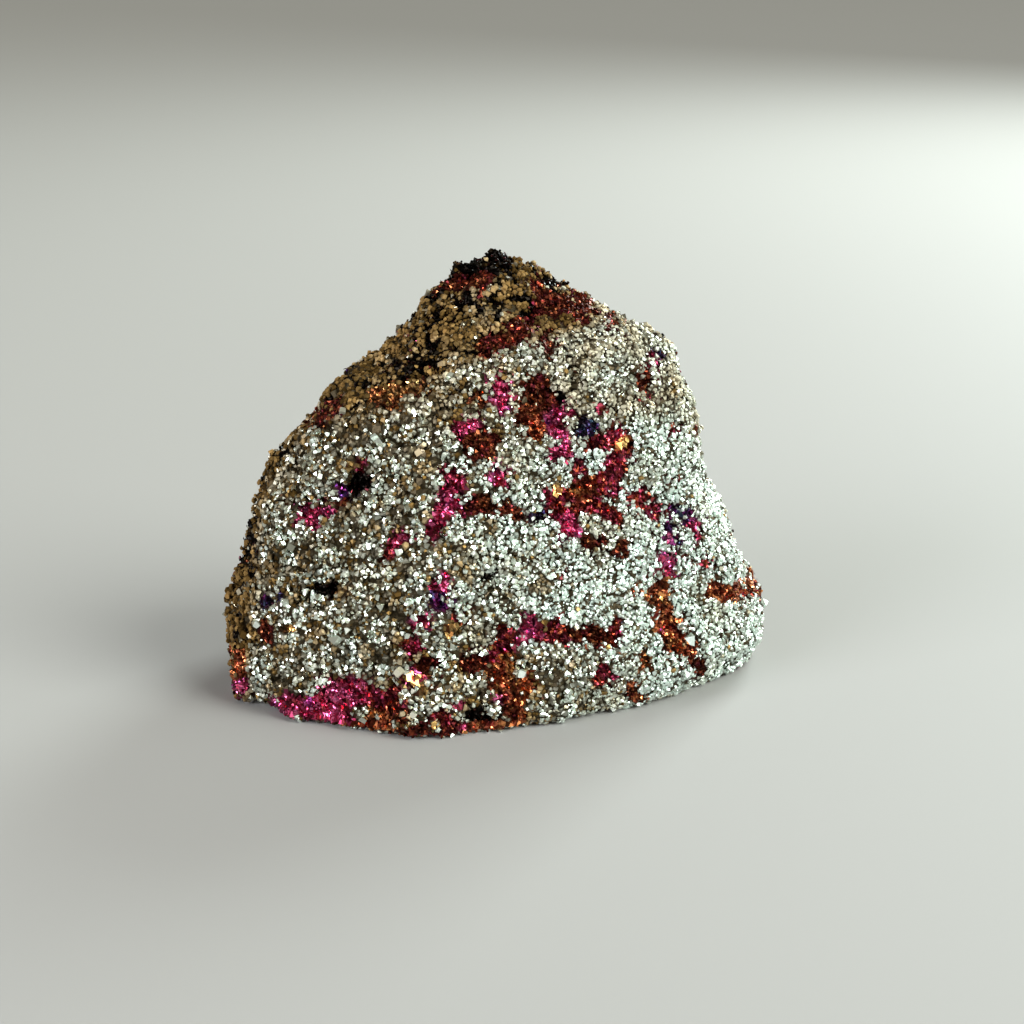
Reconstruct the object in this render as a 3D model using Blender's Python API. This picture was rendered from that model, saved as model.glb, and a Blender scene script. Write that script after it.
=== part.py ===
"""Peacock ore specimen: one broken lump of chalcopyrite under a crust of fine pyrite crystals.

It is a single natural piece, so it is a single solid. Metres, +Z up. The lump rests on its broken underside at
z = 0, and the origin is at the middle of its bounding box's underside. The front faces -Y.
"""

import random

import bmesh
import bpy
from mathutils import Matrix, Vector, noise

MM = 0.001  # the sizes below are in millimetres

# The lump is a few blocks that parted along flat fractures and still hang together. Each is convex, and is given
# by its corners, before the surface is weathered and crusted.
MAIN_BLOCK = {
    # the underside's outline
    "foot_left": (-31.0, -2.0, 0),
    "foot_left_front": (-26.0, -12.0, 0),
    "foot_front_left": (-18.0, -19.0, 0),
    "foot_front": (-8.0, -21.3, 0),
    "foot_front_right": (3.0, -17.2, 0),
    "foot_right_front": (18.0, -9.5, 0),
    "foot_right": (27.0, 1.0, 0),
    "foot_right_corner": (33.0, 10.0, 0),
    "foot_back_right": (26.0, 17.0, 0),
    "foot_back": (6.0, 20.0, 0),
    "foot_back_left": (-18.0, 17.0, 0),
    # the widest ring, a few millimetres above the table
    "left_cheek": (-34.0, -1.0, 5.5),
    "left_spur": (-32.8, -10.0, 1.3),
    "left_front_cheek": (-29.0, -13.0, 4.5),
    "front_left_lip": (-19.5, -19.8, 3.5),
    "front_lip": (-8.0, -22.0, 3.5),
    "front_right_lip": (4.0, -19.0, 3.5),
    "right_front_lip": (20.5, -11.5, 3.5),
    "right_lip": (33.2, -1.0, 4.2),
    "right_cheek": (34.8, 4.0, 6.0),
    "right_nose": (36.6, 11.5, 7.0),
    "back_right_lip": (30.0, 19.5, 8.0),
    # halfway up each face
    "left_upper_cheek": (-34.4, 0.5, 15.0),
    "left_shoulder": (-30.0, 2.0, 26.0),
    "left_front_flank": (-28.5, -8.0, 20.5),
    "front_flank": (-7.0, -17.2, 24.0),
    "right_front_flank": (19.0, -9.5, 22.0),
    "right_flank": (29.2, 6.0, 22.0),
    "back_right_flank": (23.0, 16.5, 20.0),
    # the brow, where the front face turns back into the sloping top
    "brow_left": (-24.0, -3.5, 32.5),
    "brow_mid_left": (-15.5, -8.5, 37.9),
    "brow_mid": (-6.5, -9.5, 41.4),
    "brow_mid_right": (4.0, -8.5, 44.9),
    "brow_right": (14.0, -6.0, 46.0),
    "brow_far_right": (20.8, -1.5, 43.5),
    "right_temple": (24.7, 4.5, 35.0),
    # the crest behind it, and the peak on the crest
    "crest_left": (-25.7, 4.0, 32.2),
    "crest_mid_left": (-17.7, 6.5, 40.2),
    "crest_step": (-11.9, 8.0, 46.0),
    "peak_left": (-4.4, 7.0, 52.4),
    "peak": (0.2, 6.5, 54.3),
    "peak_right": (3.0, 6.0, 51.5),
    "crest_mid_right": (11.5, 6.0, 48.4),
    "crest_shoulder": (15.8, 6.0, 46.8),
    "crest_right": (21.5, 6.5, 44.0),
    "crest_back": (2.0, 12.5, 46.0),
    "crest_back_right": (17.0, 12.5, 39.0),
}
BACK_LEDGE = {
    "foot_right": (20.0, 20.0, 0),
    "foot_middle": (8.0, 24.0, 0),
    "foot_left": (-8.0, 21.0, 0),
    "lip_right": (23.0, 22.5, 7.0),
    "lip_middle": (9.0, 27.0, 8.5),
    "lip_left": (-10.0, 24.0, 6.0),
    "tread_right": (19.5, 20.5, 17.5),
    "tread_middle": (8.0, 23.5, 21.0),
    "tread_left": (-7.0, 21.5, 18.0),
    "root_right": (18.0, 5.0, 16.0),
    "root_middle": (6.0, 5.0, 24.0),
    "root_left": (-9.0, 5.0, 18.0),
}
LEFT_LEDGE = {
    "foot_left": (-28.0, 7.0, 0),
    "foot_back": (-22.0, 19.0, 0),
    "foot_right": (-12.0, 21.0, 0),
    "lip_left": (-32.5, 8.0, 8.0),
    "lip_back": (-25.0, 21.5, 9.0),
    "lip_right": (-13.0, 23.5, 8.0),
    "tread_left": (-30.0, 7.0, 20.0),
    "tread_back": (-22.5, 18.0, 24.5),
    "tread_right": (-11.5, 17.0, 32.0),
    "root_left": (-22.0, 0.0, 20.0),
    "root_right": (-8.0, 5.0, 30.0),
}
BLOCKS = (MAIN_BLOCK, BACK_LEDGE, LEFT_LEDGE)

# Hollows where the crust is missing or the lump spalled: centre, radius and depth.
HOLLOWS = {
    "right_waist": ((30.0, 4.0, 25.0), 11.0, 1.4),
    "right_flare": ((33.0, 8.5, 15.5), 7.0, 1.7),
    "foot_scoop": ((-1.0, -21.5, 4.5), 4.5, 1.8),
    "foot_scar": ((-17.5, -20.0, 3.5), 8.5, 1.2),
    "spur_scoop": ((-29.5, -12.5, 0.5), 4.5, 1.8),
    "left_gouge": ((-22.0, -11.0, 26.0), 4.0, 1.0),
    "heart_scar": ((9.5, -14.5, 27.0), 7.5, 1.3),
    "low_scar": ((0.5, -19.0, 9.5), 5.0, 1.0),
    "low_right_scar": ((11.5, -15.0, 12.5), 4.5, 0.9),
    "right_scar": ((21.5, -11.0, 12.0), 5.5, 1.1),
    "brow_scar": ((4.0, -11.0, 39.0), 6.0, 1.1),
    "top_scar": ((8.5, -2.5, 48.0), 5.5, 1.1),
    "crest_gully": ((-12.0, 0.0, 43.0), 6.0, 1.1),
    "back_scallop": ((10.0, 15.5, 33.0), 10.0, 2.2),
    "back_bite": ((-22.0, 20.0, 15.0), 7.0, 1.8),
    "back_foot_scar": ((2.0, 26.0, 9.0), 6.0, 1.5),
}

ROOT = 3.0  # how far the blocks reach below the table, before the underside is cut flat
VOXEL = 2.15  # edge of a face of the lump's surface
ROUNDING = 1  # passes that dull the fractures' edges
LUMPS = ((13.0, 0.9), (6.0, 0.7))  # wavelength and height of the swellings in the surface
GRAIN_RELIEF = 0.8  # how far a crystal cluster stands out of the crust
CRYSTALS = 110  # single crystals large enough to stand out of the crust
CRYSTAL_SIZE = (1.2, 2.0)
CRYSTAL_SUNK = 0.02  # share of a crystal's size that its centre stands out by
CRYSTAL_GAP = 3.2  # least distance between two of them
SEED = 7


def clear_scene():
    for obj in list(bpy.data.objects):
        bpy.data.objects.remove(obj)


def ore_material():
    material = bpy.data.materials.new("pyrite crust")
    material.use_nodes = True
    shader = material.node_tree.nodes["Principled BSDF"]
    shader.inputs["Base Color"].default_value = (0.52, 0.47, 0.36, 1.0)
    shader.inputs["Metallic"].default_value = 1.0
    shader.inputs["Roughness"].default_value = 0.38
    return material


def broken_blocks():
    """The convex blocks between the named corners, one running into the next."""
    blocks = bmesh.new()
    for corners in BLOCKS:
        verts = [blocks.verts.new(Vector(corner) * MM) for corner in corners.values()]
        roots = [vert for vert in verts if vert.co.z == 0.0]
        verts += [blocks.verts.new(vert.co - Vector((0, 0, ROOT * MM))) for vert in roots]
        hull = bmesh.ops.convex_hull(blocks, input=verts)
        bmesh.ops.delete(blocks, geom=hull["geom_interior"], context="VERTS")
    bmesh.ops.recalc_face_normals(blocks, faces=blocks.faces)
    mesh = bpy.data.meshes.new("blocks")
    blocks.to_mesh(mesh)
    blocks.free()
    return mesh


def evenly_faced(mesh):
    """The blocks as one surface with faces of one size all over, and its edges dulled."""
    block = bpy.data.objects.new("block", mesh)
    bpy.context.scene.collection.objects.link(block)
    remesh = block.modifiers.new("even faces", "REMESH")
    remesh.mode = "VOXEL"
    remesh.voxel_size = VOXEL * MM
    smooth = block.modifiers.new("dull edges", "SMOOTH")
    smooth.factor = 0.5
    smooth.iterations = ROUNDING
    graph = bpy.context.evaluated_depsgraph_get()
    even = bpy.data.meshes.new_from_object(block.evaluated_get(graph))
    bpy.data.objects.remove(block)
    return even


def hollow_depth(place):
    """How deep the hollows are at a place, in mm, with a soft rim."""
    depth = 0.0
    for centre, radius, deepest in HOLLOWS.values():
        share = (place - Vector(centre)).length / radius
        if share < 1.0:
            depth = max(depth, deepest * (1.0 - share**3) ** 2)
    return depth


def weather(mesh):
    """Swells, spalls and roughens the surface."""
    rng = random.Random(SEED)
    normals = [vert.normal.copy() for vert in mesh.vertices]
    for vert, normal in zip(mesh.vertices, normals):
        place = vert.co / MM
        depth = hollow_depth(place)
        swell = sum(height * noise.noise(place / wave + Vector((3, 5, 9))) for wave, height in LUMPS)
        grain = rng.uniform(-0.4, 1.0) * GRAIN_RELIEF * (0.4 if depth > 0.5 else 1.0)
        vert.co += normal * (swell + grain - depth) * MM


def flat_footed(mesh):
    """Cuts the underside flat at z = 0, in triangles all over."""
    lump = bmesh.new()
    lump.from_mesh(mesh)
    bmesh.ops.triangulate(lump, faces=lump.faces, quad_method="SHORT_EDGE")
    bmesh.ops.bisect_plane(
        lump,
        geom=lump.verts[:] + lump.edges[:] + lump.faces[:],
        dist=0.05 * MM,
        plane_co=(0, 0, 0),
        plane_no=(0, 0, 1),
        clear_inner=True,
    )
    rim = [edge for edge in lump.edges if edge.is_boundary]
    bmesh.ops.holes_fill(lump, edges=rim)
    bmesh.ops.triangulate(lump, faces=[face for face in lump.faces if len(face.verts) > 3])
    for vert in lump.verts:
        vert.co.z = max(vert.co.z, 0.0)
    lump.to_mesh(mesh)
    lump.free()


def crystal_places(mesh, rng):
    """Faces of the crust that carry a single large crystal, well apart and off the underside."""
    faces = list(mesh.polygons)
    rng.shuffle(faces)
    chosen = []
    for face in faces:
        centre = face.center / MM
        if len(chosen) == CRYSTALS:
            break
        if centre.z < 3.0 or hollow_depth(centre) > 0.4:
            continue
        if all((centre - other).length > CRYSTAL_GAP for other, _ in chosen):
            chosen.append((centre, face.normal.copy()))
    return chosen


def crystals(mesh):
    """Pyrite cubes grown out of the crust at all angles, as one mesh."""
    rng = random.Random(SEED + 1)
    cluster = bmesh.new()
    for centre, normal in crystal_places(mesh, rng):
        size = rng.uniform(*CRYSTAL_SIZE)
        turn = Matrix.Rotation(rng.uniform(0, 6.283), 4, normal) @ Matrix.Rotation(
            rng.uniform(0.2, 1.2), 4, normal.orthogonal()
        )
        place = Matrix.Translation((centre + normal * size * CRYSTAL_SUNK) * MM)
        bmesh.ops.create_cube(cluster, size=size * MM, matrix=place @ turn)
    joined = bpy.data.meshes.new("crystals")
    cluster.to_mesh(joined)
    cluster.free()
    return joined


def centred(mesh):
    """Puts the origin under the middle of the lump."""
    xs = [vert.co.x for vert in mesh.vertices]
    ys = [vert.co.y for vert in mesh.vertices]
    middle = Vector(((min(xs) + max(xs)) / 2, (min(ys) + max(ys)) / 2, 0))
    mesh.transform(Matrix.Translation(-middle))
    return mesh


def main():
    clear_scene()
    mesh = evenly_faced(broken_blocks())
    weather(mesh)
    flat_footed(mesh)

    cluster = bpy.data.objects.new("crystal_cutter", crystals(mesh))
    cluster.hide_render = True
    cluster.display_type = "WIRE"
    bpy.context.scene.collection.objects.link(cluster)

    lump = bpy.data.objects.new("ore_lump", mesh)
    bpy.context.scene.collection.objects.link(lump)
    union = lump.modifiers.new("grown crystals", "BOOLEAN")
    union.operation = "UNION"
    union.object = cluster
    union.use_self = True
    graph = bpy.context.evaluated_depsgraph_get()
    grown = bpy.data.meshes.new_from_object(lump.evaluated_get(graph))
    bpy.data.objects.remove(cluster)
    lump.modifiers.remove(union)

    lump.data = centred(grown)
    lump.data.materials.clear()
    lump.data.materials.append(ore_material())


main()
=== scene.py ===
"""Looks for the peacock ore specimen: a dark ore matrix, a druse of fine pyrite crystals grown over it, and the
tarnished chalcopyrite that shows where the druse is missing. Sizes below are in millimetres; meshes are in metres."""

import math

import bmesh
import bpy
import numpy as np
from bpy.props import FloatProperty, FloatVectorProperty, IntProperty, PointerProperty
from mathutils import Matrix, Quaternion, Vector, noise
from mathutils.kdtree import KDTree


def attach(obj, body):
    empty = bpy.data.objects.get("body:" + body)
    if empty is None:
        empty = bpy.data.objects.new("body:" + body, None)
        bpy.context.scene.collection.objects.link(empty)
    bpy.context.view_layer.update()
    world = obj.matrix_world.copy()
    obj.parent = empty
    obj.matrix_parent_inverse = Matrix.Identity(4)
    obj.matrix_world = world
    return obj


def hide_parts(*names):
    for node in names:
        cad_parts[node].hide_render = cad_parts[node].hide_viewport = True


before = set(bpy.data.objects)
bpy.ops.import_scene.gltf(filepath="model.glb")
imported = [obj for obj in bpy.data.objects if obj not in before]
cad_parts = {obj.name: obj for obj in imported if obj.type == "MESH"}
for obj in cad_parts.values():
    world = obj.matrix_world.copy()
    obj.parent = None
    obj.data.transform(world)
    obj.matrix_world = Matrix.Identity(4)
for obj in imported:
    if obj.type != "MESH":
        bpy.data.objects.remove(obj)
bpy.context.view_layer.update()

bl_info = {
    "name": "Peacock ore specimen",
    "version": (1, 0, 0),
    "blender": (4, 5, 0),
    "location": "3D View > Sidebar > Ore",
    "description": "Builds a druse-covered lump of tarnished copper ore around its solid",
    "category": "Add Mesh",
}

MM = 0.001
NODE = "ore_lump"
MATRIX = "ore_matrix"

# The camera looks at the lump's middle from the front and a little above.
CAMERA_TARGET = np.array([1.99, -0.45, 21.4])
CAMERA_DISTANCE = 281.0
CAMERA_ELEVATION = math.radians(17.0)
CAMERA_LENS = 78.0
SENSOR = 36.0
# The main light comes from here, right of the camera and above the lump.
KEY_PLACE = (0.62, -0.38, 0.50)
VIEW_RIGHT = np.array([1.0, 0.0, 0.0])
VIEW_UP = np.array([0.0, math.sin(CAMERA_ELEVATION), math.cos(CAMERA_ELEVATION)])
VIEW_AHEAD = np.array([0.0, math.cos(CAMERA_ELEVATION), -math.sin(CAMERA_ELEVATION)])

# A tarnish film's interference colours follow its thickness: gold where it is thinnest, then orange, red, magenta,
# violet and blue. Each named tarnish is a place on that scale, and how brightly its facets gleam.
TARNISHES = {
    "gold": (0.03, 1.0),
    "orange": (0.16, 0.85),
    "ochre": (0.07, 0.3),
    "rust": (0.32, 0.95),
    "crimson": (0.5, 0.7),
    "maroon": (0.4, 0.3),
    "pink": (0.61, 1.0),
    "magenta": (0.58, 0.65),
    "violet": (0.8, 0.6),
    "steel": (0.9, 0.6),
    # black is the cap at the peak, and painted shade in holes and cracks
    "black": (1.0, 1.0),
}
# Where the druse is missing on the front. For each tarnish, streak by streak: half its width, then place by place
# how far it lies to the right of and above the middle of the view.
FRONT_STREAKS = {
    "gold": (
        (0.4, -28.4, -14.8), (0.6, 6, 2.8), (0.6, -11.7, -21.8), (0.5, -7.7, -15.6), (0.4, -7.7, -19.8),
        (0.5, -5.4, -27.9), (0.5, -9.6, -27),
    ),
    "orange": (
        (0.5, 7.6, 26.2), (1.1, -16.8, 14.8, -15.3, 14.6, -14.2, 15.6), (0.4, -27.9, 0.8), (0.5, 13.9, 8.1),
        (0.6, 18.7, -11.9), (0.8, 31.7, -9.9), (1.3, -1.7, -18.1, -0.6, -19.3), (0.8, 17, -19), (0.5, -30.5, -25.5),
    ),
    "ochre": (
        (0.9, -13.4, 15.6, -10.9, 16.4), (0.5, -23.4, -10.6, -22.4, -9.9),
    ),
    "rust": (
        (0.7, -4.2, 14.4), (1.2, -34.9, -18.4, -34.9, -20.1), (1.4, 1.8, 12.4, 2.8, 10.5),
        (1, 13.3, 9.5, 14.3, 9.1), (1.4, 10.3, 3.3, 8.2, 3), (0.5, 23.4, 10.3),
        (1.3, 17.7, -10.2, 18.6, -9.8, 19, -11.1), (1.5, 19.5, -12.7, 19.9, -15.1), (1.3, 20.3, -15.7, 21.5, -17.2),
        (0.8, 25.5, -10, 27.7, -10.5, 29.1, -9.9), (1, 30, -9.1, 31, -8.2), (0.7, 31.6, -9.2, 31.8, -10.8),
        (0.8, 1.2, -20.8, 1.9, -23), (1.6, -1.6, -19.8, -1.8, -21.3), (1.3, -0.5, -22.5, 0.6, -24.1),
        (0.7, -5, -27.5, -1.5, -27.1, 0.6, -26.6), (0.7, 0.2, -25.6, 1.4, -26.2), (1, 15.4, -23.1),
        (0.8, -14.3, -26.5), (1.6, -17.1, -26, -18.9, -27.4), (1.1, -22.8, -27.4, -20.8, -27.7, -15.2, -28.2),
    ),
    "crimson": (
        (0.5, -25.2, -1.5), (0.5, -15.6, -5.1, -16.2, -6.3), (1.3, 13.3, 9.5, 13.9, 7.6, 13, 6.2),
        (1.5, 12.5, 5.3, 12.5, 4.2, 11.5, 3.3), (0.9, 11.4, 9.6, 8.6, 5.6, 8.2, 3.6),
        (1.3, 9.1, 1.4, 7.6, 0.3, 6.1, 1.1), (0.8, 5.1, 1.6, 5.7, -0.4), (1.1, 11.8, 0.4, 13.2, -1.2),
        (1, 15.6, 2.2, 16.5, 0.5, 18.1, 0.4), (0.6, 19.9, 4.2), (0.8, 17.4, 14.7), (0.4, 11.3, 13.2),
        (0.5, 20.8, 9.8), (0.4, 21.8, -6), (0.4, 24.3, -6.3), (0.4, 6.3, -7.5), (1, -12.7, -17.2),
        (1, 4.4, -15.6, 6, -14.4, 6.2, -15.4), (1, 13, -14.6, 12.7, -16.6), (1.5, -1.1, -16.5, -1.9, -17.9),
        (1, -8.8, -26.4, -6.8, -27.2), (0.5, -6.2, -13), (1.1, 11.5, -21.2), (1.3, -15.1, -23.5, -15, -24.6),
        (1.5, -17.9, -23.3, -16.8, -24.6),
    ),
    "maroon": (
        (0.9, -9.2, 28.3, -6.8, 28.9, -4, 29), (1.3, -3.2, 20.3, -1.2, 21.7, 0.4, 22.9, 2, 23.8),
        (1.8, 4.7, 26.7, 7, 26.1, 8.9, 26.1), (1.4, 3.2, 28.7), (0.9, 12.8, 24.8, 12.8, 23.4), (0.8, 14.7, 24.1),
        (1, 3.8, 22.4, 4.6, 21.1), (0.9, -25.4, 11.2, -24, 12.5, -22, 13.2), (0.5, -22.5, 1.2, -21.6, 1.4),
        (0.6, -31.2, -14.4, -31.5, -16), (1.4, 3.4, 16, 2.6, 14.4), (1.4, 4.6, 13.8),
        (1.1, -4.7, 9.1, -3, 8.6, -3.9, 7.6), (1, -4.2, 1.1, -2.2, 0.4, 0.2, -0.3), (0.5, 17.9, -2.9),
        (0.5, 19.8, -4.6), (0.8, 17, 17.7, 16.6, 16.1), (0.8, 9.6, -3.8), (0.6, 11.7, -3.7), (0.6, 13.3, -4.8),
        (0.6, 22.4, -18.7, 23.8, -20), (1.4, -10.6, -19.9, -10, -19.4), (0.85, 8, -15.6, 10.3, -15.7, 11.9, -15.5),
        (0.8, -5.2, -18.9, -3.4, -18.7), (0.9, -12.8, -28.2, -9.5, -28.5, -7.6, -28),
    ),
    "pink": (
        (0.9, -26, 0.4, -25.4, -1.2), (0.9, -34.6, -21.6, -33.6, -22.4), (0.8, -1.8, 16.1, -0.9, 12.9),
        (1, 5.2, 11.8, 6.1, 10), (0.5, 6.5, 14.2, 7.6, 12), (1.3, -1.9, 4.5), (0.9, -6.8, 1.1, -8.7, 0),
        (1, 7.3, -0.9, 7.1, -2.4), (1, 19.6, -6.6, 19.4, -7.3), (0.9, -9, -9.3), (0.8, -11.9, -20.9, -11.9, -21.5),
        (0.6, -1.4, -23.6), (0.6, -15.7, -25.8), (1.6, -24.1, -24.3, -22.7, -25.3),
    ),
    "magenta": (
        (0.5, -18.9, 6, -18.9, 3.6), (0.65, -24.6, 0, -23.4, 0.3), (0.5, -13.7, -2.9, -15.1, -3.9),
        (0.8, -6.1, 10.5, -4.9, 10.9), (0.6, 5.4, 7.9, 7.9, 6.8), (0.9, -7.7, 4.8, -7.1, 3.8, -8.5, 1.9),
        (0.8, -9.8, -1.8, -9.8, -2.9), (0.75, 23.1, -1.9, 23.2, -3), (0.6, 17.9, 19), (0.8, -11.9, -13.8),
        (0.6, -13.3, -21.4), (1, 2.2, -14.2, 2.8, -15.6), (0.5, -6.4, -24.4), (2, -22.8, -23.2, -21.2, -23.1),
        (1.9, -19.9, -23.8, -20.6, -25.2), (1.2, -26, -25, -27.6, -24.6), (1.2, -28.9, -24.6, -29.8, -25.2),
    ),
    "violet": (
        (0.6, -20.9, 2.3, -21.8, 2.9), (0.9, 19.8, -2.4, 19.8, -3.4), (0.8, 21.8, -0.1, 22.9, -0.9),
        (1.2, -9.3, -11.2),
    ),
    "steel": (
        (0.4, 1.4, 24.1), (0.5, -30.3, -11.1), (1.1, 8.9, 11), (0.8, 3.4, -0.4), (0.6, 18.4, 20.3),
    ),
    # besides the first, the cap at the peak, the black streaks are painted shade in holes and cracks
    "black": (
        (1.5, -5.6, 31.6, -4, 32.6, -1.6, 32.2), (0.45, -8.3, 29.3, -9.6, 26, -10.6, 22.6, -10.2, 20.2),
        (0.35, -14.8, 17.6, -12.4, 18.6, -9.6, 18.9), (0.6, 4.6, 29.3, 6.1, 29), (0.8, -28.9, 8.1),
        (0.8, -18.7, 4.1, -20.4, 2.9), (1, -24.3, -9.8, -23.4, -9.3), (0.8, -34.4, -1.8, -33.7, -3.2),
        (0.9, -33.4, -5.1, -35, -6.6), (0.5, 6, 14.6), (0.8, -3.2, -8),
        (0.8, -5.9, -25.9, -3.7, -26.2, -1.8, -25.9),
    ),
}
# Clumps of crust that stand in the bare places: right of the middle, above it, and the radius.
CRUST_ISLANDS = (
    (-19.3, -25.3, 1.0), (-9.8, -27.1, 0.8), (10.3, 6.6, 1.4), (10.0, -1.8, 1.2), (13.6, 1.1, 0.8),
    (14.6, 3.4, 1.0), (-5.9, -22.6, 1.2),
)
# White crystals that stand out on the front, and golden tufts: the place, as for the streaks, and the size.
BRIGHT_CRYSTALS = (
    (32.3, -11.4, 1.2), (22.5, -16.2, 1.3), (13.0, -26.0, 0.9), (18.7, 10.4, 0.9), (-5.4, 6.4, 0.8),
    (-14.2, -5.0, 1.0), (-20.8, -15.0, 0.9), (-16.6, -12.0, 1.1), (-15.9, -13.2, 1.0), (-3.6, 14.4, 0.9),
)
GOLD_CRYSTALS = (
    (-12.3, -21.0, 1.9), (-8.0, -15.5, 1.0), (-9.6, -26.7, 1.1), (-5.7, -27.9, 1.0), (5.7, 2.8, 1.3),
    (13.8, 8.8, 1.5), (18.9, -10.4, 1.0), (-27.6, -14.6, 1.0),
)

# Where the front face turns back: at the left corner (height above the middle of the view, then right of it), and at
# the brow (right of the middle, then above it).
LEFT_CORNER = ((-22.0, -33.0), (-4.0, -31.8), (4.0, -29.8), (9.1, -27.2), (14.0, -23.0))
BROW = ((-30, 8.0), (-26.8, 10.4), (-18, 13.5), (-9.1, 16.1), (1, 20.5), (11.1, 22.4), (17.5, 21.8), (24, 18.0))
# The black cap at the peak: its middle, and its half width and height.
APEX, APEX_REACH = (-3.5, 33.0), (3.4, 2.2)

# What varies over the lump: how strongly, over what distance in mm, and where its noise starts.
NOISES = {
    "fray": (0.7, 2.2, 3.0),  # the edges of the bare places
    "fine fray": (0.4, 0.7, 8.0),
    "bare": (1.0, 7.0, 21.0),  # the bare places on the back, sides and top
    "fine bare": (0.35, 2.2, 5.0),
    "hue": (0.75, 6.0, 40.0),  # their film
    "gleam": (1.0, 3.0, 60.0),
    "crack": (1.0, 3.4, 71.0),  # 0 along the black cracks, which are painted shade
    "patchy": (0.35, 5.0, 13.0),  # the weathering
    "turning": (0.35, 4.0, 71.0),  # where the front's weathering gives way to the back's
    "fold": (1.0, 0.85, 51.0),  # 0 along the creases of the crumpled film
    "fine fold": (0.3, 0.4, 53.0),
    "drift": (0.14, 1.8, 31.0),  # the film's thickness
    "fine drift": (0.16, 0.6, 37.0),
    "fading": (0.4, 1.3, 43.0),  # its gleam
    "relief": (0.15, 1.6, 2.0),  # the break underneath
    "shade": (0.09, 2.6, 91.0),  # the crystals' shade
    "warmth": (0.2, 4.0, 17.0),
    "glints": (1.2, 1.1, 97.0),  # clusters of glinting crystals
}
HIDDEN_SHARE = 0.27  # the larger, the less of the back, sides and top is bare
CREASE = 0.2  # how far from 0 the fold noise is at the edge of a crease
SOOT_AND_SHADE = 0.95  # films thicker than this are black: the cap at the peak, and painted shade in holes and cracks

UNDERSIDE_TOP = 1.5  # faces that look down are on the underside below this height
RESTING = 1.3  # what is lower than this rests on the table
UNDERSIDE_ROOM = 0.45  # how far the matrix stays above the table, for the crystals under it
PEAK = (49.0, 54.0)  # between these heights the matrix shrinks less and less, so that the peak stays
LOBE = 0.55  # size of a lobe of a knob, as a share of the knob's
GROOVE = 0.55  # the knobs' grooves reach up to this share of their height
FRONT_PARTS = (-9.0, 10.0)  # where the front's druse is divided, right of the middle of the view

# Places tried: for the tarnished flakes, for the small root crystals, and for all of the druse.
FLAKE_SAMPLES, ROOT_SAMPLES, SAMPLES = 120000, 500000, 1000000
SEED = 11

# The tarnished forms and their shares, the thin flakes first, then the forms of the golden plates.
FLAKES = {"flake_a": 0.15, "flake_b": 0.15, "grain_a": 0.25, "grain_b": 0.25, "grain_c": 0.2}
THIN = 2
PLATES = ("plate_a", "plate_b")
# The forms of the druse's grains, of the small crystals between them and of those that stand out.
GRAINS = ("grain_a", "grain_b", "grain_c", "grain_d")
SMALL = ("corner", "octahedron")
BLOCKS = ("block_a", "block_b", "block_c", "block_d")
STANDING = (*BLOCKS, "truncated")


def rgb(code):
    """An sRGB hex colour as linear red, green and blue."""
    parts = [int(code[i : i + 2], 16) / 255 for i in (1, 3, 5)]
    return tuple(p / 12.92 if p <= 0.04045 else ((p + 0.055) / 1.055) ** 2.4 for p in parts)


def colour(name, description, code):
    return FloatVectorProperty(
        name=name, description=description, default=rgb(code), subtype="COLOR", size=3, min=0.0, max=1.0
    )


def length(name, description, mm):
    return FloatProperty(name=name, description=description, default=mm * MM, unit="LENGTH", precision=5)


def amount(name, description, default, **more):
    return FloatProperty(name=name, description=description, default=default, min=0.0, **more)


class OreSettings(bpy.types.PropertyGroup):
    """Sizes and colours of the lump's minerals."""

    inset: length("Matrix inset", "How far the matrix lies under the solid", 1.25)
    knob_size: length("Knob size", "Distance from one knob of the druse to the next", 1.8)
    knob_height: length("Knob height", "How far the knobs rise over the matrix", 1.25)
    crumple: length("Crumple", "How far the tarnished facets are crumpled", 0.07)
    root_gap: length("Root crystal spacing", "Spacing of the small crystals in the gaps between grains", 0.33)
    fine_gap: length("Fine grain spacing", "Spacing of the grains where they are finest", 0.34)
    coarse_gap: length("Coarse grain spacing", "Spacing of the grains where they are coarsest", 0.4)
    large_size: length("Large crystal size", "Size of the largest crystals that stand out", 0.75)
    large_count: IntProperty(name="Large crystals", description="How many crystals stand out", default=400, min=0)
    flake_gap: length("Flake spacing", "Spacing of the tarnished grains and flakes", 0.45)
    silver: colour("Silver pyrite", "Clean, pale pyrite faces", "#EFFCF4")
    grey: colour("Grey pyrite", "Clean pyrite faces in the shade of others", "#70746C")
    # the brassy and brown pyrite also stand for painted shade, on faces turned from the light and in the grooves
    brass: colour("Brassy pyrite", "Weathered, yellower pyrite faces", "#CCA86C")
    brown: colour("Brown pyrite", "Pyrite under a thin rusty film", "#664E28")
    # the darkest pyrite: the black cap at the peak, and painted shade deep in the grooves and between the grains
    soot_and_shade: colour("Sooty pyrite", "Pyrite under fine black sulphide", "#140C08")
    dim_film: colour("Dim tarnish", "Tarnished facets that don't gleam", "#220A08")
    # partly painted shade: the matrix between the crystals is dark to stand for the shade in the gaps
    covered: colour("Covered matrix", "The matrix between the crystals", "#3E3628")


class StageSettings(bpy.types.PropertyGroup):
    """The floor and the studio's lights."""

    floor: colour("Floor", "Matt card floor", "#9A9895")
    key_strength: amount("Key light", "Strength of the soft light from the window side", 3.5)
    key_angle: amount("Key angle", "How wide the window looks from the lump", math.radians(36), subtype="ANGLE")
    window_power: amount("Window panel", "Power of the wide, soft panel", 10.0, unit="POWER")
    fill_power: amount("Fill lamps", "Power of the fill lamp and of the rim lamp", 5.5, unit="POWER")
    room: colour("Room", "Colour of the light from all round", "#BDB4A0")
    room_strength: amount("Room light", "Strength of the light from all round", 0.45)


def deselect():
    if bpy.context.object and bpy.context.object.mode != "OBJECT":
        bpy.ops.object.mode_set(mode="OBJECT")
    bpy.ops.object.select_all(action="DESELECT")


def chosen(piece):
    """Makes a piece the only selected object and the active one."""
    deselect()
    piece.select_set(True)
    bpy.context.view_layer.objects.active = piece


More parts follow.
